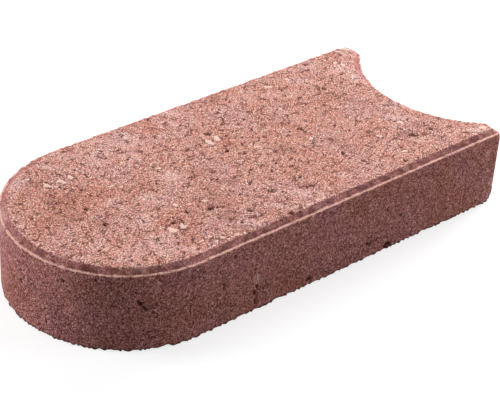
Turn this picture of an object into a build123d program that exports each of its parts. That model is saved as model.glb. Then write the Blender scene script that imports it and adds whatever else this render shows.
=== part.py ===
from build123d import *
from math import sqrt
import os

# Garden edging stone: one pressed concrete slab for a lawn or mowing edge.
# One end is a half circle and the other is hollowed to an arc between two blunt horns, so that
# the round end of each stone turns in the hollow end of the next and a row can follow a curve.
# Millimetres. X runs along the stone from the round end (-X) to the hollow end (+X), Z is up.
# The origin is the centre of the bounding box, on the underside.

# Slab
stone_width = 120.0  # across the two long sides
stone_thickness = 45.0  # underside to top face
laying_length = 240.0  # centre of the round end to centre of the hollow: one stone's run in a row

# Hollow end
joint_width = 1.5  # gap between a round end and the hollow that it turns in
horn_width = 12.5  # flat end of each horn, beside the hollow
horn_corner_radius = 1.5  # upright corners of the horns, as the mould leaves them

# Rim round the top, where the press plate met the mould wall
ledge_width = 1.8  # level step along the top of the walls
slope_height = 2.5  # drop from the top face to the ledge
slope_angle = 45.0  # lean of that drop from upright, in degrees

# Worked out from the sizes above
round_radius = stone_width / 2
hollow_radius = round_radius + joint_width
horn_reach = laying_length - sqrt(hollow_radius**2 - (round_radius - horn_width) ** 2)
round_centre_x = (round_radius - horn_reach) / 2
hollow_centre_x = round_centre_x + laying_length
wall_height = stone_thickness - slope_height

with BuildPart() as edging_stone:
    # Walls: one round end, straight sides and one hollow end, up to the ledge
    with BuildSketch() as plan:
        with Locations((round_centre_x, 0)):
            Circle(round_radius)
            Rectangle(horn_reach, stone_width, align=(Align.MIN, Align.CENTER))
        with Locations((hollow_centre_x, 0)):
            Circle(hollow_radius, mode=Mode.SUBTRACT)
    extrude(amount=wall_height)
    horn_corners = edging_stone.edges().filter_by(Axis.Z).group_by(Axis.X)[-1]
    fillet(horn_corners, radius=horn_corner_radius)

    # Raised top: the same plan set in by the ledge, sloping in all round
    with BuildSketch(Plane.XY.offset(wall_height)):
        add(plan.sketch)
        offset(amount=-ledge_width, kind=Kind.INTERSECTION, mode=Mode.REPLACE)
    extrude(amount=slope_height, taper=slope_angle)

edging_stone.part.label = "edging_stone"
os.makedirs("parts", exist_ok=True)
export_step(edging_stone.part, "parts/edging_stone.step")
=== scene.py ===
import math

import bmesh
import bpy
from mathutils import Matrix, Vector, kdtree, noise


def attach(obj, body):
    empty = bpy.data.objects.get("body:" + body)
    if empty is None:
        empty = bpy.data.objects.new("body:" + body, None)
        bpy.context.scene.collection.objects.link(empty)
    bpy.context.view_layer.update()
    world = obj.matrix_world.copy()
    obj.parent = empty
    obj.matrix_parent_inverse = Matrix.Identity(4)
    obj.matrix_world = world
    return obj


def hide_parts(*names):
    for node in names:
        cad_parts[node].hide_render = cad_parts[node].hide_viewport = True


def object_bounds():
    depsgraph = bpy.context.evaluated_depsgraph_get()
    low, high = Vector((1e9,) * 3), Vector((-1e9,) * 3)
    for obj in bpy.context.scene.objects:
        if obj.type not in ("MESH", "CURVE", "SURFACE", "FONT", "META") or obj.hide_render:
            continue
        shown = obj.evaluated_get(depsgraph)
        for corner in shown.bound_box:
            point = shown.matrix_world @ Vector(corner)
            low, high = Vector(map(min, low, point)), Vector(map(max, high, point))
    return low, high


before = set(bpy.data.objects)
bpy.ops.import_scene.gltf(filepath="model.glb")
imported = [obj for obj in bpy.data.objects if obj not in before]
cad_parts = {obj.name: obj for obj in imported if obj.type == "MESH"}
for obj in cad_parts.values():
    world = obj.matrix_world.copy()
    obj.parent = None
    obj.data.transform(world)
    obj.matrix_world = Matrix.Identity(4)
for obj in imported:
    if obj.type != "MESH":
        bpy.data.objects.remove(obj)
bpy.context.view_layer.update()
MM = 0.001

# The mould's shape: a slab pressed from damp, earth-dry concrete in a steel mould.
# The walls are drawn against the mould, and the press plate leaves a sloped, stepped rim
# round the top. Here it is drawn as one even net of small faces, ready for its relief.
lowest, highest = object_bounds()
round_radius = (highest.y - lowest.y) / 2
round_x = lowest.x + round_radius
horn_x = highest.x
top_z = highest.z
joint_width = 1.5 * MM
laying_length = 240 * MM
hollow_radius = round_radius + joint_width
hollow_x = round_x + laying_length
hollow_half = math.acos((hollow_x - horn_x) / hollow_radius)
horn_inner_y = hollow_radius * math.sin(hollow_half)
ledge_width = 1.8 * MM
slope_size = 2.5 * MM
rim_width = ledge_width + slope_size
ledge_z = top_z - slope_size
lip_z = ledge_z - 0.8 * MM
wall_step = 1.05 * MM
top_step = 0.7 * MM
under_step = 3.0 * MM
edge_strip = 0.7 * MM
hair = 0.1 * MM  # two places that are closer than this count as one

stone = bmesh.new()


def set_in(point, inset):
    """Where a point of the outline comes to lie when the outline is set in by some width."""
    end_x = horn_x - inset
    side_y = round_radius - inset
    arc_radius = hollow_radius + inset
    # the round end
    if point.x < round_x:
        round_middle = Vector((round_x, 0, 0))
        spoke = Vector((point.x, point.y, 0)) - round_middle
        return round_middle + spoke * (side_y / round_radius)
    inner_y = math.sqrt(arc_radius**2 - (hollow_x - end_x) ** 2)
    # the straight sides
    if abs(point.y) > round_radius - 0.1 * hair:
        along = (point.x - round_x) / (horn_x - round_x)
        return Vector((round_x + along * (end_x - round_x), math.copysign(side_y, point.y), 0))
    # the flat ends of the horns
    if abs(point.y) > horn_inner_y - 0.1 * hair:
        across = (abs(point.y) - horn_inner_y) / (round_radius - horn_inner_y)
        return Vector((end_x, math.copysign(inner_y + across * (side_y - inner_y), point.y), 0))
    # the hollow
    share = math.asin(point.y / hollow_radius) / math.asin(horn_inner_y / hollow_radius)
    angle = share * math.asin(inner_y / arc_radius)
    return Vector((hollow_x - arc_radius * math.cos(angle), arc_radius * math.sin(angle), 0))


def draw_straight(point, way):
    """Draws a straight run of short edges on from a point."""
    steps = round(way.length / wall_step)
    for step in range(steps):
        point = bmesh.ops.extrude_vert_indiv(stone, verts=[point])["verts"][0]
        point.co += way / steps
    return point


def draw_arc(point, middle_x, radius, angle):
    """Draws an arc of short edges on from a point."""
    steps = round(abs(angle) * radius / wall_step)
    spun = bmesh.ops.spin(stone, geom=[point], cent=(middle_x, 0, 0), axis=(0, 0, 1), angle=angle,
                          steps=steps)
    return next(part for part in spun["geom_last"] if isinstance(part, bmesh.types.BMVert))


def draw_ring(ring, inset, z):
    """Draws the walls or the rim on from one ring of edges to the next, at a height and set in."""
    drawn = bmesh.ops.extrude_edge_only(stone, edges=ring)["geom"]
    fresh = dict.fromkeys(part for part in drawn if isinstance(part, bmesh.types.BMVert))
    for vert in fresh:
        source = next(edge.other_vert(vert) for edge in vert.link_edges if edge.other_vert(vert) not in fresh)
        home[vert] = home[source]
        vert.co = set_in(home[vert], inset)
        vert.co.z = z
    return [part for part in drawn
            if isinstance(part, bmesh.types.BMEdge) and part.verts[0] in fresh and part.verts[1] in fresh]


# the plan: near side, round end, far side, far horn, hollow and near horn
first_corner = stone.verts.new((horn_x, -round_radius, 0))
corner = draw_straight(first_corner, Vector((round_x - horn_x, 0, 0)))
corner = draw_arc(corner, round_x, round_radius, -math.pi)
corner = draw_straight(corner, Vector((horn_x - round_x, 0, 0)))
corner = draw_straight(corner, Vector((0, horn_inner_y - round_radius, 0)))
corner = draw_arc(corner, hollow_x, hollow_radius, 2 * hollow_half)
corner = draw_straight(corner, Vector((0, horn_inner_y - round_radius, 0)))
bmesh.ops.weld_verts(stone, targetmap={corner: first_corner})

# the foot's strip, then the walls up to the lip, the ledge, the slope and the top's first strip
outline = stone.edges[:]
home = {vert: vert.co.copy() for vert in stone.verts}  # the place on the outline that each came from
under_rim = draw_ring(outline, edge_strip, 0)
last_ring = outline
wall_rows = round(ledge_z / wall_step)
for row in range(wall_rows):
    last_ring = draw_ring(last_ring, 0, lip_z * (row + 1) / wall_rows)
for inset, z in ((0, ledge_z), (ledge_width / 2, ledge_z), (ledge_width, ledge_z),
                 (ledge_width + slope_size / 3, ledge_z + slope_size / 3),
                 (ledge_width + slope_size * 2 / 3, ledge_z + slope_size * 2 / 3),
                 (rim_width, top_z), (rim_width + edge_strip, top_z)):
    last_ring = draw_ring(last_ring, inset, z)


def plan_depth(point):
    """How far a point lies inside the outline, seen from above."""
    beside = abs(point.y) if point.x > round_x else math.hypot(point.x - round_x, point.y)
    hollow = math.hypot(point.x - hollow_x, point.y) - hollow_radius
    return min(round_radius - beside, horn_x - point.x, hollow)


def fill_with_net(rim, step, inset, z):
    """Fills a flat ring with a square net, joined to the ring by a band of triangles."""
    length = horn_x - lowest.x
    across = 2 * round_radius
    band = 0.6 * step
    net = bmesh.ops.create_grid(stone, x_segments=round(length / step), y_segments=round(across / step),
                                size=0.5)["verts"]
    for vert in net:
        vert.co = (lowest.x + (vert.co.x + 0.5) * length, vert.co.y * across, z)
    outside = [vert for vert in net if plan_depth(vert.co) < inset + band]
    bmesh.ops.delete(stone, geom=outside, context="VERTS")
    net = [vert for vert in net if vert.is_valid]
    bmesh.ops.delete(stone, geom=[vert for vert in net if not vert.link_faces], context="VERTS")
    net = [vert for vert in net if vert.is_valid]
    hem = dict.fromkeys(edge for vert in net for edge in vert.link_edges if len(edge.link_faces) < 2)
    bmesh.ops.triangle_fill(stone, use_beauty=True, edges=rim + list(hem), normal=(0, 0, 1))


fill_with_net(last_ring, top_step, rim_width + edge_strip, top_z)
fill_with_net(under_rim, under_step, edge_strip, 0)
bmesh.ops.recalc_face_normals(stone, faces=stone.faces)

# The relief of damp-pressed concrete: crumbs of sand with open pores between them on the top,
# a closer skin on the walls where the steel mould dragged it, and a foot that crumbles when the
# stone is pushed out. Nothing stands out of the mould's shape, so all of it is sunk into it.
stone.verts.ensure_lookup_table()
stone.verts.index_update()
stone.normal_update()
places = [vert.co.copy() for vert in stone.verts]
normals = [vert.normal.copy() for vert in stone.verts]
finishes = ("painted_shade", "pebble", "highlight_and_pale_edges", "bloom", "soot", "rust", "pressed")
finish = {name: [0.0] * len(places) for name in finishes}  # how much of each shows, from 0 to 1
sinks = []  # how far each point is sunk, in millimetres


def ease(low, high, value):
    """Goes smoothly from 0 at low to 1 at high."""
    share = min(1.0, max(0.0, (value - low) / (high - low)))
    return share * share * (3 - 2 * share)


def lump(point, size_mm, salt=0.0):
    """Soft lumps of a size in millimetres, from about 0 to 1. Another salt gives other lumps."""
    return 0.5 + 0.65 * noise.noise(point / (size_mm * MM) + Vector((salt, salt, salt)))


def spot(point, spacing_mm, share, salt):
    """Millimetres to the nearest of some scattered spots, and that spot's lot from 0 to 1."""
    distances, spots = noise.voronoi(point / (spacing_mm * MM) + Vector((salt, salt * 0.37, salt * 0.71)))
    lot = (0.5 + 0.5 * noise.cell(spots[0] * 57.0)) / share
    return (distances[0] * spacing_mm, lot) if lot < 1 else (spacing_mm, 0.0)


def relief(point, inset):
    """Millimetres that the surface lies under the mould's shape, and how much painted shade its pores get."""
    on_top = point.z > top_z - hair
    open_face = ease(rim_width - 0.3 * MM, rim_width + 0.5 * MM, inset) if on_top else 0.0
    if point.z < hair and inset > hair:
        return 0.25 * lump(point, 2.4) + 0.3 * lump(point, 9.0), 0.0
    # swells, lumps and crumbs, the crumbs free where the face is open
    depth = 0.08 * lump(point, 34.0) + 0.07 * lump(point, 5.0) + 0.1 * lump(point, 1.9, 9.0)
    depth += open_face * (0.13 * lump(point, 4.6, 3.0) + 0.18 * lump(point, 1.5, 5.0))
    # pores: how far apart their spots are, the share of spots with a pore, its reach and its depth
    painted_shade = 0.0
    strength = 0.35 + 0.65 * open_face
    for spacing, share, reach_mm, deep in ((3.6, 0.5, 0.9, 0.6), (9.0, 0.45, 1.4, 1.0)):
        away, lot = spot(point, spacing, share, spacing)
        reach = reach_mm * (0.45 + 0.55 * lot) * (0.7 + 0.6 * lump(point, 1.5, 2.0))
        dip = strength * (1 - ease(0.3 * reach, reach, away))
        depth += deep * dip
        # each pore is painted with shade as deep as its dip
        painted_shade = max(painted_shade, dip)
    return depth, painted_shade


for index, place in enumerate(places):
    inset = plan_depth(place)
    depth, painted_shade = relief(place, inset)
    on_ledge = abs(place.z - ledge_z) < hair
    under_top = place.z < top_z - hair
    # the near side takes in most of the round end, and ends just before the horn's flat end
    near_side = place.x < horn_x - 0.5 * MM and place.y < 0.8 * round_radius and (
        place.x < round_x or place.y < -0.9 * round_radius)
    # the ledge's edge, the top's arris and the foot crumble
    arris_crumble = 0.7 if near_side else 2.3
    for edge_inset, edge_z, crumble, wave_mm in (
            (0, ledge_z, 1.1, 2.6), (rim_width, top_z, arris_crumble, 2.8), (0, 0, 1.5, 1.8)):
        gap = math.hypot(inset - edge_inset, place.z - edge_z) / MM
        ragged = lump(place, wave_mm, 5.0)
        reach = 0.7 + 0.9 * ragged
        if gap < reach:
            depth += crumble * (1 - gap / reach) * max(0.0, ragged + lump(place, 1.5, 7.0) - 0.7)
    # painted highlight on the lip of the ledge and the wall just under it, where it catches the light, most
    # on the near side; the top's arris is paler, more on the near side, and the horn tips are paler in lumps
    near_side_highlight = 1.0 if near_side else 0.8
    lip_highlight = 0.0
    if on_ledge:
        lip_highlight = 1 - 0.2 * ease(0.0, 0.9, inset / MM) - 0.65 * ease(0.9, 1.8, inset / MM)
    elif abs(place.z - lip_z) < hair:
        lip_highlight = 0.2 + 0.4 * lump(place, 1.7, 19.0)
    arris = 1 - ease(0.2, 1.5, math.hypot(inset - rim_width, place.z - top_z) / MM)
    horn_tip = 1 - ease(2.0, 8.0, (horn_x - place.x) / MM) if place.z > ledge_z + hair else 0.0
    finish["highlight_and_pale_edges"][index] = max(near_side_highlight * lip_highlight * (0.42 + 0.8 * lump(place, 2.2, 17.0)), 0.52 * near_side_highlight * arris,
                                horn_tip * (0.1 + 0.75 * lump(place, 2.4, 23.0)))
    # painted shade in the torn pores, and painted contact shade along the crumbled foot where it meets the
    # floor
    foot_shade = (1 - ease(0.2, 2.4, place.z / MM)) * (1 - ease(0.5, 2.0, inset / MM))
    foot_shade *= 0.5 + 0.5 * ease(0.35, 0.65, lump(place, 2.4, 11.0))
    finish["painted_shade"][index] = max(0.7 * painted_shade * (1 - lip_highlight), 0.9 * foot_shade)
    # the ledge and the rim's slope are pressed by the plate's edge; painted shade darkens the slope, most in
    # the corner at its foot and on the near side, less towards the far side that the low left lamp lights
    if on_ledge or (place.z > ledge_z and under_top):
        finish["pressed"][index] = 1.0
        from_corner = (inset - ledge_width) / MM
        slope_shade = 0.54 + 0.12 * (1 - ease(0.1, 0.8, from_corner)) if from_corner > -0.1 else 0.0
        slope_shade *= 1 - 0.55 * ease(-0.1, 0.4, place.y / round_radius)
        slope_shade *= 0.45 + 0.5 * ease(0.3, 0.7, lump(place, 4.0, 13.0))
        finish["painted_shade"][index] = max(finish["painted_shade"][index], slope_shade)
    # the wall of the round end is sooty in soft patches
    elif place.x < round_x and under_top:
        finish["soot"][index] = 0.3 + 0.5 * ease(0.35, 0.65, lump(place, 14.0, 29.0))
    sinks.append(0.6 * depth if on_ledge and inset < ledge_width + hair else depth)

# What this one stone shows: pale pebbles pressed level with the top, pits and slots where crumbs
# were torn out as the press plate rose, a crack and pits in the walls, and knocked horns.
finder = kdtree.KDTree(len(places))
for index, place in enumerate(places):
    finder.insert(place / MM, index)
finder.balance()
# marks on the top are measured as the camera sees them: across its view, and away from it
slant = Vector((0.743, -0.669, 0))
cross_slant = Vector((0.669, 0.743, 0))
upward = Vector((0, 0, 1))
top_mm = top_z / MM
side_mm = -round_radius / MM


def around(centre, half_length, half_width, length_way, width_way, uneven=0.4, thick=2.5):
    """The points near a mark, each with how far out it lies: 0 in its middle and 1 on its uneven rim."""
    facing = length_way.cross(width_way)
    for place, index, _ in finder.find_range(centre, 2 * max(half_length, half_width)):
        span = place - centre
        out = math.hypot(span.dot(length_way) / half_length, span.dot(width_way) / half_width,
                         span.dot(facing) / thick)
        yield index, out / (1 - uneven / 2 + uneven * lump(place * MM, 2.2, 4.0))


def pit(centre, half_length, half_width, length_way, width_way, deep, darkness=1.0):
    """Sinks a ragged pit and paints shade into it."""
    for index, out in around(centre, half_length, half_width, length_way, width_way, 0.8):
        dip = 1 - ease(0.55, 1.05, out)
        finish["painted_shade"][index] = max(finish["painted_shade"][index], darkness * dip)
        sinks[index] += deep * dip


# x, y, half length, half width and how far it is turned from the slant, in millimetres and degrees
pebbles = (
    (1.3, 19.0, 3.0, 1.7, -72), (-4.4, 18.0, 3.6, 1.6, -38), (-62.0, -33.8, 2.7, 1.7, -70),
    (-67.6, -33.8, 3.1, 1.6, -35), (-86.0, 30.4, 2.6, 1.5, -30), (-80.3, 31.2, 2.0, 1.4, -60),
    (-93.7, 31.6, 2.6, 1.8, -20), (-22.4, 24.5, 1.2, 1.0, 0), (-69.2, 13.2, 1.6, 1.1, 40),
    (-40.1, -23.2, 2.3, 1.1, 15), (-53.8, -18.1, 1.9, 1.3, -50), (-40.4, 13.0, 1.7, 0.9, 20),
    (72.7, 45.8, 1.8, 1.2, -15), (58.5, 45.3, 3.1, 1.0, 12), (107.2, 44.7, 2.2, 1.2, 80),
    (109.2, 40.2, 2.1, 1.3, -40), (104.3, 38.5, 2.3, 1.0, 10), (104.6, 27.9, 3.0, 0.9, 85),
    (106.3, 32.7, 1.6, 1.1, -30), (12.6, 0.6, 1.6, 1.1, 35), (40.7, -9.1, 1.5, 1.1, 70),
    (90.6, -24.0, 2.3, 1.2, -12), (71.7, -46.1, 1.8, 1.2, 25), (71.6, -27.6, 2.1, 1.1, -20),
    (122.6, -53.0, 2.8, 1.8, 10), (123.2, 53.6, 2.6, 1.7, -15), (117.4, 54.6, 2.4, 1.2, 5),
    (47.6, 23.3, 1.7, 1.0, 30), (-62.4, -48.5, 1.3, 0.9, 30), (-57.3, -48.2, 1.2, 1.0, -20),
    (-56.8, -52.6, 1.5, 1.0, 45), (-53.0, -52.3, 1.2, 1.2, 0), (-51.3, -54.6, 1.6, 0.9, 30),
    (-46.1, -54.2, 1.8, 1.1, 20), (-42.2, -55.6, 1.2, 0.9, 30), (4.8, -54.0, 1.9, 1.0, 25),
    (8.4, -54.4, 1.4, 0.9, 35), (-2.1, -54.5, 1.6, 0.8, 25), (-98.2, 41.5, 1.3, 1.0, 10))
for x, y, half_length, half_width, degrees in pebbles:
    turned = Matrix.Rotation(math.radians(degrees), 3, "Z")
    for index, out in around(Vector((x, y, top_mm)), half_length, half_width, turned @ slant,
                             turned @ cross_slant, 0.7):
        inside = 1 - ease(0.6, 1.2, out)
        # a sunk collar round part of each pebble, painted with shade
        collar = ease(0.9, 1.15, out) * (1 - ease(1.2, 1.6, out))
        collar *= ease(0.4, 0.6, lump(places[index], 2.0, 6.0))
        finish["pebble"][index] = max(finish["pebble"][index], inside)
        finish["painted_shade"][index] = max(finish["painted_shade"][index] * (1 - inside), 0.7 * collar)
        level = 0.12 + 0.25 * lump(places[index], 1.6, 8.0)
        sinks[index] = sinks[index] * (1 - inside) + 0.45 * collar + level * inside

# x, y, half length, half width and depth
top_pits = (
    (-0.3, 25.0, 2.6, 1.5, 1.3), (-63.8, -29.2, 2.6, 1.3, 1.2), (12.1, 28.6, 1.7, 1.2, 1.1),
    (-3.7, 37.0, 2.0, 0.9, 0.8), (-18.1, 18.3, 1.7, 1.4, 1.3), (-41.7, 15.4, 2.0, 1.1, 1.3),
    (-2.4, 6.3, 1.6, 1.7, 1.5), (-53.3, -26.0, 2.1, 1.1, 1.2), (-82.4, 18.9, 1.3, 1.2, 1.1),
    (-90.5, 4.0, 1.9, 1.4, 1.3), (-91.0, -12.0, 1.4, 1.4, 1.2), (59.2, 49.0, 2.6, 1.2, 1.0),
    (81.8, 26.1, 2.2, 1.2, 1.5), (44.7, -29.0, 1.5, 1.7, 1.6), (42.9, 1.6, 2.3, 1.2, 1.5),
    (22.1, 6.8, 1.3, 1.2, 1.1), (30.9, 44.8, 1.2, 1.0, 0.9), (3.2, -0.3, 2.2, 1.3, 1.0),
    (87.2, -37.3, 3.2, 1.3, 1.3), (92.5, -39.9, 2.3, 1.1, 1.1), (65.7, -52.6, 1.9, 1.2, 1.0),
    (99.3, -37.7, 2.3, 1.5, 1.0), (-27.7, -42.0, 2.7, 1.1, 1.1), (-37.3, -47.4, 1.4, 1.4, 1.3),
    (-8.7, -35.2, 2.3, 1.2, 1.2), (-65.1, -45.2, 1.3, 1.3, 1.2), (-12.2, -23.6, 1.5, 1.6, 1.0),
    (11.6, -33.6, 1.5, 1.2, 1.0), (-42.0, -29.6, 2.2, 1.8, 1.1), (-20.7, -56.2, 1.8, 1.6, 1.2),
    (-13.7, -55.6, 2.2, 1.3, 1.0))
for x, y, half_length, half_width, deep in top_pits:
    pit(Vector((x, y, top_mm)), 0.85 * half_length, 0.8 * half_width, slant, cross_slant, deep, 0.72)

# x, z, half length along the wall, half height and depth, on the near side
along = Vector((1, 0, 0))
for x, z, half_length, half_height, deep in (
        (-35.8, 13.8, 1.2, 2.0, 1.5), (-37.6, 10.6, 1.4, 2.0, 1.8), (-36.8, 4.8, 0.9, 2.6, 1.2),
        (-56.9, 22.3, 1.0, 2.6, 1.2), (-2.0, 3.7, 2.4, 1.4, 1.5), (51.3, 2.2, 2.9, 2.1, 2.2),
        (37.1, 8.5, 1.5, 1.5, 1.3), (59.7, 17.5, 1.2, 1.2, 1.0), (49.4, 24.5, 1.0, 1.8, 1.0),
        (-50.7, 36.9, 1.4, 1.2, 1.1)):
    pit(Vector((x, side_mm, z)), half_length, half_height, along, upward, deep)

# x, y, z, half size and depth, on the round end
for x, y, z, half_size, deep in (
        (-124.4, -26.2, 35.1, 1.2, 0.9), (-130.4, -1.1, 22.4, 1.0, 0.8), (-115.8, -39.3, 39.1, 1.1, 0.9)):
    round_way = Vector((-y, x - round_x / MM, 0)).normalized()
    pit(Vector((x, y, z)), half_size, half_size, round_way, upward, deep)

# one long scratch in the round end's wall
scratch_way = Vector((3.2, -1.8, -4.6)).normalized()
scratch_cross = scratch_way.cross(Vector((-0.51, -0.86, 0))).normalized()
pit(Vector((-99.6, -52.4, 26.1)), 4.2, 1.1, scratch_way, scratch_cross, 1.1)

# Knocks: where, how far they reach and how deep they go, in millimetres
for where, reach, deep in (
        ((130.6, -60.0, -0.5), 5.0, 1.6), ((130.6, -60.0, 43.0), 3.5, 0.7), ((130.6, 60.0, 44.0), 6.0, 1.8),
        ((130.6, 47.5, 44.0), 4.5, 1.2), ((26.0, 56.5, 45.4), 2.6, 1.2), ((58.5, 57.0, 45.4), 2.2, 1.0),
        ((78.0, -60.0, 0.0), 2.4, 0.8), ((-23.0, -60.0, 0.0), 2.6, 0.8), ((-88.0, -57.4, 0.0), 2.6, 0.8)):
    centre = Vector(where)
    for place, index, away in finder.find_range(centre, reach):
        share = 1 - away / reach
        sinks[index] += deep * share**0.8 * (0.75 + 0.5 * lump(place * MM, 2.0))

# Patches that drift over the faces: lime bloom, lime specks that show like pebbles, soot, and
# rust-coloured pigment. x, y, z, half length and half width, in millimetres
soft_patches = {
    "bloom": (
        (-40.6, 3.8, top_mm, 9, 6), (-58.0, 40.0, top_mm, 12, 11), (-60.0, -5.5, top_mm, 10, 5),
        (-77.0, -40.0, top_mm, 13, 10), (93.0, -20.0, top_mm, 10, 6), (55.0, 37.0, top_mm, 14, 6),
        (-106.0, 41.0, top_mm, 6, 9), (104.0, 38.0, top_mm, 8, 8), (-124.0, 26.0, 40.0, 12, 10),
        (3.0, -45.0, top_mm, 9, 4), (-34.0, -52.0, top_mm, 14, 4), (60.0, -56.0, top_mm, 10, 2),
        (29.0, -44.0, top_mm, 6, 4), (-80.0, -46.0, top_mm, 9, 6), (-73.0, -20.0, top_mm, 6, 7),
        (118.0, -52.0, top_mm, 11, 4), (120.0, 48.0, top_mm, 9, 9), (-77.0, -1.0, top_mm, 7, 6),
        (38.0, 42.0, top_mm, 11, 8), (-46.0, 30.0, top_mm, 8, 8), (-38.0, 41.0, top_mm, 9, 9),
        (-95.0, -38.0, top_mm, 9, 12), (-70.0, 47.0, top_mm, 10, 6), (99.0, -7.0, top_mm, 6, 6),
        (20.0, 40.0, top_mm, 5, 5), (92.0, 51.0, top_mm, 6, 4), (86.0, -42.0, top_mm, 5, 4),
        (34.0, 3.0, top_mm, 5, 5), (-3.0, 53.0, top_mm, 14, 4), (-50.0, 51.0, top_mm, 12, 5),
        (-103.0, -24.0, top_mm, 6, 7), (-98.0, -48.0, top_mm, 8, 4), (-36.0, 50.0, top_mm, 8, 4),
        (-12.0, -49.0, top_mm, 8, 3), (-83.0, 44.0, top_mm, 7, 5), (-11.0, 46.0, top_mm, 8, 4),
        (76.0, 41.0, top_mm, 12, 5), (46.0, 46.0, top_mm, 9, 4), (-71.0, -51.0, top_mm, 7, 4),
        (113.0, 42.0, top_mm, 7, 5), (104.0, 24.0, top_mm, 5, 6), (122.0, -60.0, 32.0, 3.0, 4.0),
        (-36.6, -60.0, 18.0, 2.6, 5.0), (128.8, -60.0, 11.0, 1.8, 5.0), (129.4, -60.0, 26.0, 1.2, 3.0),
        (121.0, -60.0, 15.0, 2.0, 2.5)),
    "pebble": (
        (129.0, -60.0, 28.0, 1.2, 2.4), (127.4, -60.0, 13.0, 2.2, 4.0), (-36.6, -60.0, 19.5, 1.3, 2.6),
        (123.0, -60.0, 17.0, 1.0, 1.4)),
    "soot": (
        (-59.5, 3.5, top_mm, 9, 6), (19.5, -9.7, top_mm, 7, 6), (80.0, 18.0, top_mm, 9, 7),
        (-42.0, -31.0, top_mm, 6, 5), (-101.0, 14.0, top_mm, 9, 8), (88.0, -37.0, top_mm, 9, 5),
        (31.0, 21.0, top_mm, 8, 5), (-101.0, -52.0, 34.0, 8, 5), (-60.0, -60.0, 12.0, 12, 8),
        (39.0, -60.0, 8.0, 9, 7), (12.0, -60.0, 5.0, 8, 5), (23.0, -60.0, 12.0, 5, 5),
        (-9.0, -60.0, 13.0, 8, 6), (-30.0, -60.0, 12.0, 6, 6)),
    "rust": (
        (-24.0, -3.0, top_mm, 9, 5), (-101.0, 2.0, top_mm, 7, 7), (-97.0, 18.0, top_mm, 9, 7),
        (-129.0, 6.0, 15.0, 14, 13), (-12.6, -60.0, 31.0, 2.6, 3.6), (24.0, -11.0, top_mm, 10, 5),
        (-37.0, -24.0, top_mm, 10, 8), (26.0, 53.0, top_mm, 6, 6), (59.0, -54.0, top_mm, 6, 3),
        (-40.0, -50.0, top_mm, 6, 3), (-82.0, 20.0, top_mm, 5, 4), (97.0, -33.0, top_mm, 6, 4),
        (10.0, -42.0, top_mm, 7, 4), (-97.0, 36.0, top_mm, 5, 4), (-34.0, -33.0, top_mm, 6, 5),
        (-92.0, 15.0, top_mm, 7, 7), (-52.0, -28.0, top_mm, 5, 6), (-40.0, -40.0, top_mm, 6, 8),
        (50.0, -29.0, top_mm, 6, 5), (84.0, -34.0, top_mm, 7, 5), (86.0, 7.0, top_mm, 6, 5),
        (-91.0, -12.0, top_mm, 7, 6), (-20.0, -17.0, top_mm, 6, 4), (49.0, -18.0, top_mm, 5, 5),
        (20.0, -54.0, top_mm, 5, 3), (81.9, -60.0, 6.9, 1.5, 1.2))}
for name, patches in soft_patches.items():
    strongest = 0.55 if name == "pebble" else 1.0
    for x, y, z, half_length, half_width in patches:
        length_way, width_way, thick = Vector((-y, x - round_x / MM, 0)), upward, 5.0
        if z == top_mm:
            length_way, width_way, thick = slant, cross_slant, 2.5
        elif y < side_mm + 0.1:
            length_way = along
        for index, out in around(Vector((x, y, z)), half_length, half_width, length_way.normalized(),
                                 width_way, 0.8, thick):
            finish[name][index] = max(finish[name][index], strongest * (1 - ease(0.3, 1.15, out)))

# Upright corners of the horns, rounded as the mould leaves them
corner_radius = 1.5 * MM
middle_x = horn_x - corner_radius
outer_middle = Vector((middle_x, round_radius - corner_radius, 0))
inner_middle_y = math.sqrt((hollow_radius + corner_radius)**2 - (hollow_x - middle_x)**2)
inner_middle = Vector((middle_x, inner_middle_y, 0))
hollow_way = Vector((hollow_x, 0, 0)) - inner_middle
for vert, place, normal, sink in zip(stone.verts, places, normals, sinks):
    for middle in (outer_middle, inner_middle):
        spoke = Vector((place.x - middle.x, abs(place.y) - middle.y, 0))
        if middle is outer_middle:
            in_corner = spoke.x > 0 and spoke.y > 0
        else:
            in_corner = spoke.x > 0 and spoke.y < 0 and spoke.cross(hollow_way).z < 0
        if in_corner and spoke.length > corner_radius:
            pull = spoke * (1 - corner_radius / spoke.length)
            place = place - Vector((pull.x, math.copysign(1.0, place.y) * pull.y, 0))
    vert.co = place - normal * sink * MM

for name, values in finish.items():
    layer = stone.verts.layers.float.new(name)
    for vert, value in zip(stone.verts, values):
        vert[layer] = value
for face in stone.faces:
    face.smooth = True
    open_face = min(places[vert.index].z for vert in face.verts) > top_z - hair
    face.material_index = 0 if open_face else 1

stone_mesh = bpy.data.meshes.new("pressed_stone")
stone.to_mesh(stone_mesh)
stone.free()
pressed_stone = bpy.data.objects.new("pressed_stone", stone_mesh)
bpy.context.scene.collection.objects.link(pressed_stone)
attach(pressed_stone, "root")
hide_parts("edging_stone")


# Concrete coloured through with iron oxide. Both faces are the same mix: sand grains in several
# tones, painted shade in the gaps and pores between them, and colour that drifts in soft patches.
def tone(code):
    """Turns an sRGB hex colour to the linear one that a node takes."""
    parts = [int(code[i:i + 2], 16) / 255 for i in (1, 3, 5)]
    return [c / 12.92 if c <= 0.04045 else ((c + 0.055) / 1.055) ** 2.4 for c in parts] + [1.0]


def add_node(tree, kind, inputs=None, stops=(), **settings):
    """Adds a node, sets what is given, and links each input that is given a socket.

    Inputs go by name or by number. A Map Range has its value at 0, the range that this comes from
    at 1 and 2, and the range that it goes to at 3 and 4. A colour Mix has its share at 0 and its
    two colours at 6 and 7. The first two colour stops are the ramp's own, so they are its two ends.
    """
    made = tree.nodes.new(kind)
    for name, value in settings.items():
        setattr(made, name, value)
    for socket, value in (inputs or {}).items():
        if isinstance(value, bpy.types.NodeSocket):
            tree.links.new(value, made.inputs[socket])
        else:
            made.inputs[socket].default_value = value
    for index, (place, code) in enumerate(stops):
        elements = made.color_ramp.elements
        stop = elements[index] if index < 2 else elements.new(place)
        stop.position = place
        stop.color = tone(code)
    return made


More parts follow.
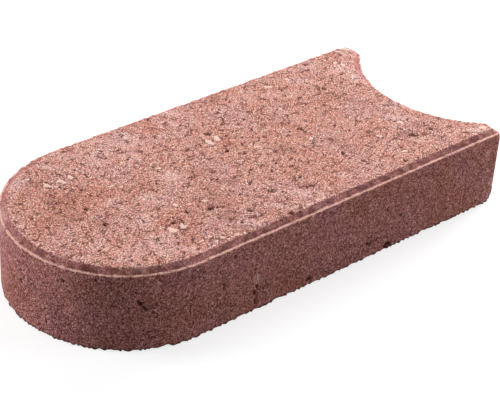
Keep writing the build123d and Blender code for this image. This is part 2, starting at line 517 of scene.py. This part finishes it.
def concrete(name, grain_mm, grain_tones, drift_tones, pore_mm, pore_share, contrast, crumb_shadow, grain_shade_tone,
             bump_mm):
    """A material for one finish of the concrete."""
    material = bpy.data.materials.new(name)
    material.use_nodes = True
    tree = material.node_tree
    shader = tree.nodes["Principled BSDF"]
    place = add_node(tree, "ShaderNodeTexCoord").outputs["Object"]

    # places that wander a little, so that no grain or painted shadow has a straight side
    wander = add_node(tree, "ShaderNodeTexNoise", {"Vector": place, "Scale": 1 / (1.6 * MM), "Detail": 1.0})
    centred = add_node(tree, "ShaderNodeVectorMath", {0: wander.outputs["Color"], 1: (0.5, 0.5, 0.5)},
                       operation="SUBTRACT").outputs[0]
    shift = add_node(tree, "ShaderNodeVectorMath", {0: centred, "Scale": 0.7 * MM},
                     operation="SCALE").outputs[0]
    uneven = add_node(tree, "ShaderNodeVectorMath", {0: place, 1: shift}).outputs[0]

    # each sand grain has its own tone
    grains = add_node(tree, "ShaderNodeTexVoronoi", {"Vector": uneven, "Scale": 1 / (grain_mm * MM)})
    grain_lot = add_node(tree, "ShaderNodeSeparateColor", {0: grains.outputs["Color"]}).outputs[0]
    colour = add_node(tree, "ShaderNodeValToRGB", {0: grain_lot}, stops=grain_tones).outputs[0]

    # colour drifts over a few centimetres
    drift = add_node(tree, "ShaderNodeTexNoise",
                     {"Vector": place, "Scale": 1 / (26 * MM), "Detail": 5.0, "Roughness": 0.62}).outputs[0]
    drift_tone = add_node(tree, "ShaderNodeValToRGB", {0: drift}, stops=drift_tones).outputs[0]
    colour = add_node(tree, "ShaderNodeMix", {0: 1.0, 6: colour, 7: drift_tone},
                      data_type="RGBA", blend_type="MULTIPLY").outputs[2]

    # fines between the grains, light and dark, the dark ones redder; the real ones are too fine to
    # show, so they are drawn at a third of a millimetre and up
    fines = add_node(tree, "ShaderNodeTexNoise",
                     {"Vector": place, "Scale": 1 / (0.64 * MM), "Detail": 1.0, "Roughness": 0.8}).outputs[0]
    fine_share = add_node(tree, "ShaderNodeMapRange", {0: fines, 1: 0.3, 2: 0.7}).outputs[0]
    darkest = (1 - 1.08 * contrast, 1 - 1.25 * contrast, 1 - 1.25 * contrast, 1.0)
    lightest = (1 + 0.87 * contrast, 1 + contrast, 1 + contrast, 1.0)
    fine_tone = add_node(tree, "ShaderNodeMix", {0: fine_share, 6: darkest, 7: lightest},
                         data_type="RGBA").outputs[2]
    colour = add_node(tree, "ShaderNodeMix", {0: 1.0, 6: colour, 7: fine_tone},
                      data_type="RGBA", blend_type="MULTIPLY").outputs[2]

    # patches of bloom, rust and soot on this stone
    bloom = add_node(tree, "ShaderNodeAttribute", attribute_name="bloom").outputs["Fac"]
    bloom_level = add_node(tree, "ShaderNodeMapRange", {0: bloom, 3: 1.0, 4: 1.18}).outputs[0]
    colour = add_node(tree, "ShaderNodeMix", {0: 1.0, 6: colour, 7: bloom_level},
                      data_type="RGBA", blend_type="MULTIPLY", clamp_result=True).outputs[2]
    for attribute, code, most in (("bloom", "#F0CDCD", 0.28), ("rust", "#8F4E3A", 0.35)):
        share = add_node(tree, "ShaderNodeAttribute", attribute_name=attribute).outputs["Fac"]
        share = add_node(tree, "ShaderNodeMath", {0: share, 1: most}, operation="MULTIPLY").outputs[0]
        colour = add_node(tree, "ShaderNodeMix", {0: share, 6: colour, 7: tone(code)},
                          data_type="RGBA").outputs[2]
    soot = add_node(tree, "ShaderNodeAttribute", attribute_name="soot").outputs["Fac"]
    sooty = add_node(tree, "ShaderNodeMapRange", {0: fines, 1: 0.52, 2: 0.38, 3: 0.0, 4: 0.85}).outputs[0]
    sooty = add_node(tree, "ShaderNodeMath", {0: sooty, 1: soot}, operation="MULTIPLY").outputs[0]
    colour = add_node(tree, "ShaderNodeMix", {0: sooty, 6: colour, 7: tone("#4E2E29")},
                      data_type="RGBA").outputs[2]

    # painted shade in the gaps where grains meet, and in pores
    gap = add_node(tree, "ShaderNodeMapRange",
                   {0: grains.outputs["Distance"], 1: 0.62, 2: 0.8, 3: 0.0, 4: 0.85}).outputs[0]
    pores = add_node(tree, "ShaderNodeTexVoronoi", {"Vector": uneven, "Scale": 1 / (pore_mm * MM)})
    pore_lot = add_node(tree, "ShaderNodeSeparateColor", {0: pores.outputs["Color"]}).outputs[1]
    pore_reach = add_node(tree, "ShaderNodeMapRange",
                          {0: pore_lot, 1: 1 - pore_share, 2: 1.0, 3: -0.02, 4: 0.3}).outputs[0]
    beyond = add_node(tree, "ShaderNodeMath", {0: pores.outputs["Distance"], 1: pore_reach},
                      operation="SUBTRACT").outputs[0]
    pore = add_node(tree, "ShaderNodeMapRange", {0: beyond, 1: -0.02, 2: 0.05, 3: 1.0, 4: 0.0}).outputs[0]
    painted_grain_shade = add_node(tree, "ShaderNodeMath", {0: gap, 1: pore}, operation="MAXIMUM").outputs[0]

    # painted shadows in short arcs that run part of the way round crumbs of half a centimetre
    far_shift = add_node(tree, "ShaderNodeVectorMath", {0: centred, "Scale": 3.0 * MM},
                         operation="SCALE").outputs[0]
    bent = add_node(tree, "ShaderNodeVectorMath", {0: place, 1: far_shift}).outputs[0]
    crumbs = add_node(tree, "ShaderNodeTexVoronoi", {"Vector": bent, "Scale": 1 / (5 * MM)},
                      feature="DISTANCE_TO_EDGE").outputs["Distance"]
    crumb_shadow_line = add_node(tree, "ShaderNodeMapRange",
                          {0: crumbs, 1: 0.02, 2: 0.075, 3: crumb_shadow, 4: 0.0}).outputs[0]
    broken = add_node(tree, "ShaderNodeTexNoise",
                      {"Vector": place, "Scale": 1 / (4.5 * MM), "Detail": 1.0}).outputs[0]
    opened = add_node(tree, "ShaderNodeMapRange", {0: broken, 1: 0.5, 2: 0.56}).outputs[0]
    crumb_shadow_line = add_node(tree, "ShaderNodeMath", {0: crumb_shadow_line, 1: opened}, operation="MULTIPLY").outputs[0]
    painted_grain_shade = add_node(tree, "ShaderNodeMath", {0: painted_grain_shade, 1: crumb_shadow_line}, operation="MAXIMUM").outputs[0]

    # the rim that the press plate's edge has smoothed is closed up
    pressed = add_node(tree, "ShaderNodeAttribute", attribute_name="pressed").outputs["Fac"]
    closed = add_node(tree, "ShaderNodeMapRange", {0: pressed, 3: 0.95, 4: 0.55}).outputs[0]
    painted_grain_shade = add_node(tree, "ShaderNodeMath", {0: painted_grain_shade, 1: closed}, operation="MULTIPLY").outputs[0]
    colour = add_node(tree, "ShaderNodeMix", {0: painted_grain_shade, 6: colour, 7: tone(grain_shade_tone)},
                      data_type="RGBA").outputs[2]

    # painted shade in the mesh's pits and pores, round the pebbles, on the rim's slope and along the foot,
    # with a ragged outline
    painted_shade = add_node(tree, "ShaderNodeAttribute", attribute_name="painted_shade").outputs["Fac"]
    shade_share = add_node(tree, "ShaderNodeMath", {0: fines, 1: 0.9, 2: painted_shade}, operation="MULTIPLY_ADD").outputs[0]
    shade_share = add_node(tree, "ShaderNodeMapRange", {0: shade_share, 1: 0.72, 2: 1.2, 3: 0.0, 4: 0.9}).outputs[0]
    colour = add_node(tree, "ShaderNodeMix", {0: shade_share, 6: colour, 7: tone("#451911")},
                      data_type="RGBA").outputs[2]

    # painted highlight on the lip of the ledge, a paler arris and horn tips, and pale pebbles,
    # all with a ragged outline
    for attribute, code, most in (("highlight_and_pale_edges", "#FFCABB", 0.85), ("pebble", "#FCD8CC", 0.8)):
        share = add_node(tree, "ShaderNodeAttribute", attribute_name=attribute).outputs["Fac"]
        ragged = add_node(tree, "ShaderNodeMath", {0: share, 1: fines}, operation="ADD").outputs[0]
        ragged = add_node(tree, "ShaderNodeMath", {0: wander.outputs[0], 1: 0.9, 2: ragged},
                          operation="MULTIPLY_ADD").outputs[0]
        share = add_node(tree, "ShaderNodeMapRange", {0: ragged, 1: 1.33, 2: 1.6, 3: 0.0, 4: most}).outputs[0]
        colour = add_node(tree, "ShaderNodeMix", {0: share, 6: colour, 7: tone(code)},
                          data_type="RGBA").outputs[2]
    tree.links.new(colour, shader.inputs["Base Color"])

    # grains stand up as domes, fines roughen them, and pores go in
    domes = add_node(tree, "ShaderNodeMath", {0: grains.outputs["Distance"], 1: -0.8},
                     operation="MULTIPLY").outputs[0]
    grit = add_node(tree, "ShaderNodeMath", {0: domes, 1: fines}, operation="ADD").outputs[0]
    height = add_node(tree, "ShaderNodeMath", {0: grit, 1: pore}, operation="SUBTRACT").outputs[0]
    bump = add_node(tree, "ShaderNodeBump", {"Strength": closed, "Distance": bump_mm * MM, "Height": height})
    tree.links.new(bump.outputs[0], shader.inputs["Normal"])
    shader.inputs["Roughness"].default_value = 0.93
    shader.inputs["IOR"].default_value = 1.5
    shader.inputs["Specular IOR Level"].default_value = 0.25
    return material


# Pressed open face: the plate lifts off damp sand, so grains stand free. The eye sees sharp light
# and dark crumbs of about a millimetre.
stone_mesh.materials.append(concrete(
    "pressed_concrete_open_face", grain_mm=0.6,
    grain_tones=((0.0, "#A16357"), (1.0, "#FFE2D8"), (0.2, "#D39589"), (0.5, "#E0A599"), (0.82, "#EDB7AB")),
    drift_tones=((0.3, "#EDD0BE"), (0.72, "#F3E6EC"), (0.45, "#FFF1E9"), (0.58, "#FFFBFB")),
    pore_mm=1.5, pore_share=0.55, contrast=0.84, crumb_shadow=1.0, grain_shade_tone="#5C1F18", bump_mm=0.44))

# Mould-drawn wall: the steel drags a skin of wet fines over the sand, so it is closer, duller and
# redder than the face, with small pores.
stone_mesh.materials.append(concrete(
    "mould_drawn_concrete_wall", grain_mm=0.85,
    grain_tones=((0.0, "#8C534C"), (1.0, "#DDB0AA"), (0.2, "#AF766F"), (0.5, "#BB827D"), (0.85, "#C68D88")),
    drift_tones=((0.3, "#E9D6BF"), (0.72, "#EDD8E8"), (0.45, "#FFF3EA"), (0.58, "#FFF6FB")),
    pore_mm=1.7, pore_share=0.5, contrast=0.54, crumb_shadow=0.4, grain_shade_tone="#551E18", bump_mm=0.5))

# Studio: a pale sheet under the stone, soft lamps behind it at the right and low at the left, and
# weak ones overhead, low at the right and low in front. The sheet shows white and keeps the shadow.
bpy.ops.mesh.primitive_plane_add(size=8)
floor = bpy.context.object
floor.name = "floor_sheet"
sheet = bpy.data.materials.new("white_paper_sheet")
sheet.use_nodes = True
sheet_tree = sheet.node_tree
sheet_tree.nodes.clear()
rays = add_node(sheet_tree, "ShaderNodeLightPath").outputs
seen = add_node(sheet_tree, "ShaderNodeMath", {0: rays["Is Camera Ray"], 1: rays["Is Glossy Ray"]},
                operation="MAXIMUM").outputs[0]
seen = add_node(sheet_tree, "ShaderNodeMath", {0: seen, 1: rays["Is Transmission Ray"]},
                operation="MAXIMUM").outputs[0]
paper = add_node(sheet_tree, "ShaderNodeBsdfDiffuse", {"Color": tone("#B4B4B4")}).outputs[0]
glow = add_node(sheet_tree, "ShaderNodeEmission", {"Color": tone("#FFFFFF"), "Strength": 0.72}).outputs[0]
lit = add_node(sheet_tree, "ShaderNodeAddShader", {0: paper, 1: glow}).outputs[0]
grey = add_node(sheet_tree, "ShaderNodeBsdfDiffuse", {"Color": tone("#898989")}).outputs[0]
both = add_node(sheet_tree, "ShaderNodeMixShader", {0: seen, 1: grey, 2: lit}).outputs[0]
add_node(sheet_tree, "ShaderNodeOutputMaterial", {0: both})
floor.data.materials.append(sheet)

world = bpy.data.worlds.new("studio")
bpy.context.scene.world = world
world.use_nodes = True
air = world.node_tree
air.nodes.clear()
camera_ray = add_node(air, "ShaderNodeLightPath").outputs["Is Camera Ray"]
strength = add_node(air, "ShaderNodeMapRange", {0: camera_ray, 3: 0.143, 4: 1.0}).outputs[0]
sky = add_node(air, "ShaderNodeBackground", {"Color": tone("#FFFFFF"), "Strength": strength}).outputs[0]
add_node(air, "ShaderNodeOutputWorld", {0: sky})

# each lamp faces the stone: its name, its width, its power and where it stands, in metres and watts
stone_middle = Vector((0, 0, 0.02))
for name, size, power, place in (
        ("lamp_behind_right", 0.75, 31.6, (1.25, 0.375, 0.62)),
        ("lamp_low_left", 0.5, 11.0, (-0.82, 0.72, 0.3)),
        ("lamp_low_right", 0.5, 4.6, (0.82, -0.74, 0.3)),
        ("lamp_low_front", 0.6, 1.5, (-0.95, -0.72, 0.3)),
        ("lamp_overhead", 1.0, 2.4, (0.0, 0.0, 1.3))):
    lamp = bpy.data.lights.new(name, "AREA")
    lamp.size = size
    lamp.energy = power
    stand = bpy.data.objects.new(name, lamp)
    stand.location = place
    stand.rotation_euler = (Vector(place) - stone_middle).to_track_quat("Z", "Y").to_euler()
    stand.visible_camera = False
    bpy.context.scene.collection.objects.link(stand)

# The view: from above the near side and the round end, with a long lens.
camera_azimuth = math.radians(-42.03)
camera_elevation = math.radians(32.85)
camera_roll = math.radians(3.53)
camera_distance = 794.4 * MM
camera_aim = Vector((0.83, -9.65, 22.5)) * MM
camera_data = bpy.data.cameras.new("camera")
camera_data.lens = 113.1
camera_data.sensor_width = 36
camera = bpy.data.objects.new("camera", camera_data)
turn = (Matrix.Rotation(camera_azimuth, 4, "Z")
        @ Matrix.Rotation(math.pi / 2 - camera_elevation, 4, "X")
        @ Matrix.Rotation(camera_roll, 4, "Z"))
camera.matrix_world = Matrix.Translation(camera_aim + turn @ Vector((0, 0, camera_distance))) @ turn
bpy.context.scene.collection.objects.link(camera)
bpy.context.scene.camera = camera
bpy.context.scene.view_settings.view_transform = "Standard"
